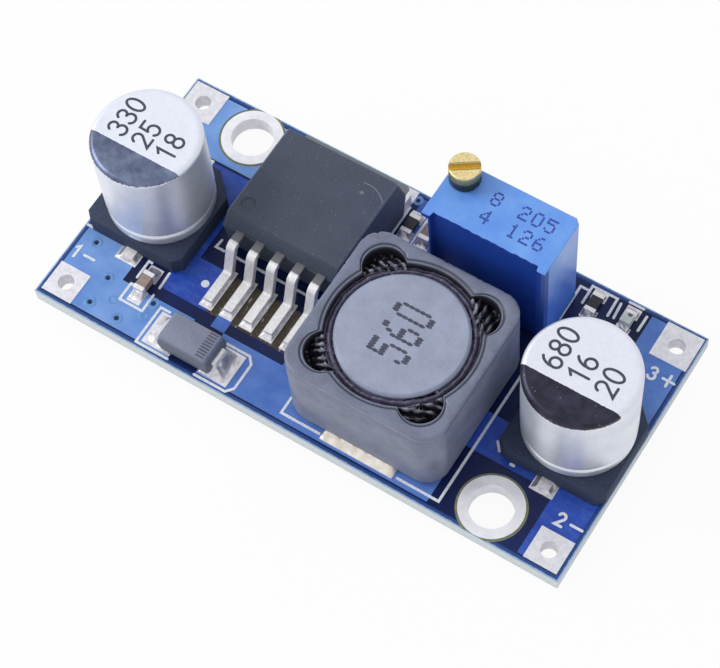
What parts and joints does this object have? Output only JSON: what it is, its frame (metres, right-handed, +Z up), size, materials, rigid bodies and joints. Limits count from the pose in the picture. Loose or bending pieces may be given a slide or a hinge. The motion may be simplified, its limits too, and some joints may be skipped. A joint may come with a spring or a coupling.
{
  "type": "buck converter module",
  "caption": "Bare blue circuit board with two upright capacitor cans, a tabbed regulator, a square shielded inductor, a trimmer with a turning screw, a diode and chip parts.",
  "frame": {"origin": "underside of the board, midway between the two mounting holes", "axes": "+X along the board from the wire holes of the input end to those of the output end, +Y across the board towards the trimmer's edge, +Z up through the parts"},
  "size_m": [0.043, 0.0208, 0.0142],
  "materials": {
    "blue_solder_mask": "glossy blue lacquer over glass laminate",
    "tinned_copper": "bright tin over copper, slightly rough",
    "can_aluminium": "satin, with a black printed segment",
    "base_plastic": "black moulded, matt",
    "case_resin": "dark grey moulding resin, fine grain",
    "lead_metal": "matt tin",
    "ferrite": "grey pressed ferrite",
    "winding_copper": "lacquered copper wire",
    "black_glue": "glossy cured resin",
    "trimmer_blue": "blue moulded plastic, satin",
    "screw_brass": "turned brass",
    "seal_rubber": "black rubber",
    "gear_nylon": "natural nylon",
    "ceramic": "white ceramic",
    "resistor_ink": "black resistive film",
    "chip_black": "black glaze",
    "chip_brown": "brown ceramic",
    "lens_resin": "clear to milky resin"
  },
  "bodies": {
    "module": {"circuit_board": "blue_solder_mask", "mounting_rings": "tinned_copper", "wire_terminals": "tinned_copper", "solder_lands": "tinned_copper", "trimmer_hole_rings": "tinned_copper", "input_capacitor_can": "can_aluminium", "input_capacitor_base": "base_plastic", "input_capacitor_leads": "lead_metal", "output_capacitor_can": "can_aluminium", "output_capacitor_base": "base_plastic", "output_capacitor_leads": "lead_metal", "regulator_case": "case_resin", "regulator_tab": "lead_metal", "regulator_leads": "lead_metal", "inductor_shield": "ferrite", "inductor_drum": "ferrite", "inductor_winding": "winding_copper", "inductor_glue": "black_glue", "inductor_terminals": "lead_metal", "diode_case": "case_resin", "diode_terminals": "lead_metal", "trimmer_housing": "trimmer_blue", "trimmer_element": "ceramic", "trimmer_track": "resistor_ink", "trimmer_base_seal": "trimmer_blue", "trimmer_pins": "lead_metal", "trimmer_solder": "tinned_copper", "light_base": "ceramic", "light_lens": "lens_resin", "light_ends": "lead_metal", "light_resistor": "chip_black", "light_resistor_ends": "lead_metal", "ceramic_capacitor": "chip_brown", "ceramic_capacitor_ends": "lead_metal", "feedback_resistor": "chip_black", "feedback_resistor_ends": "lead_metal", "feedback_capacitor": "chip_brown", "feedback_capacitor_ends": "lead_metal"},
    "adjusting_screw": {"trimmer_screw": "screw_brass", "trimmer_seal_ring": "seal_rubber"},
    "wiper_gear": {"trimmer_gear": "gear_nylon", "trimmer_wiper": "screw_brass"}
  },
  "joints": [
    {"name": "screw_turn", "type": "hinge", "parent": "module", "child": "adjusting_screw", "pos_m": [0.00356, 0.00786, 0.0114], "axis": [0, 0, 1], "range_deg": [-4410, 4410]},
    {"name": "gear_turn", "type": "hinge", "parent": "module", "child": "wiper_gear", "pos_m": [0.00718, 0.00786, 0.0064], "axis": [0, 1, 0], "range_deg": [-133.65, 133.65]}
  ],
  "couplings": [
    {"joint": "gear_turn", "follows": "screw_turn", "ratio": -0.030303}
  ]
}
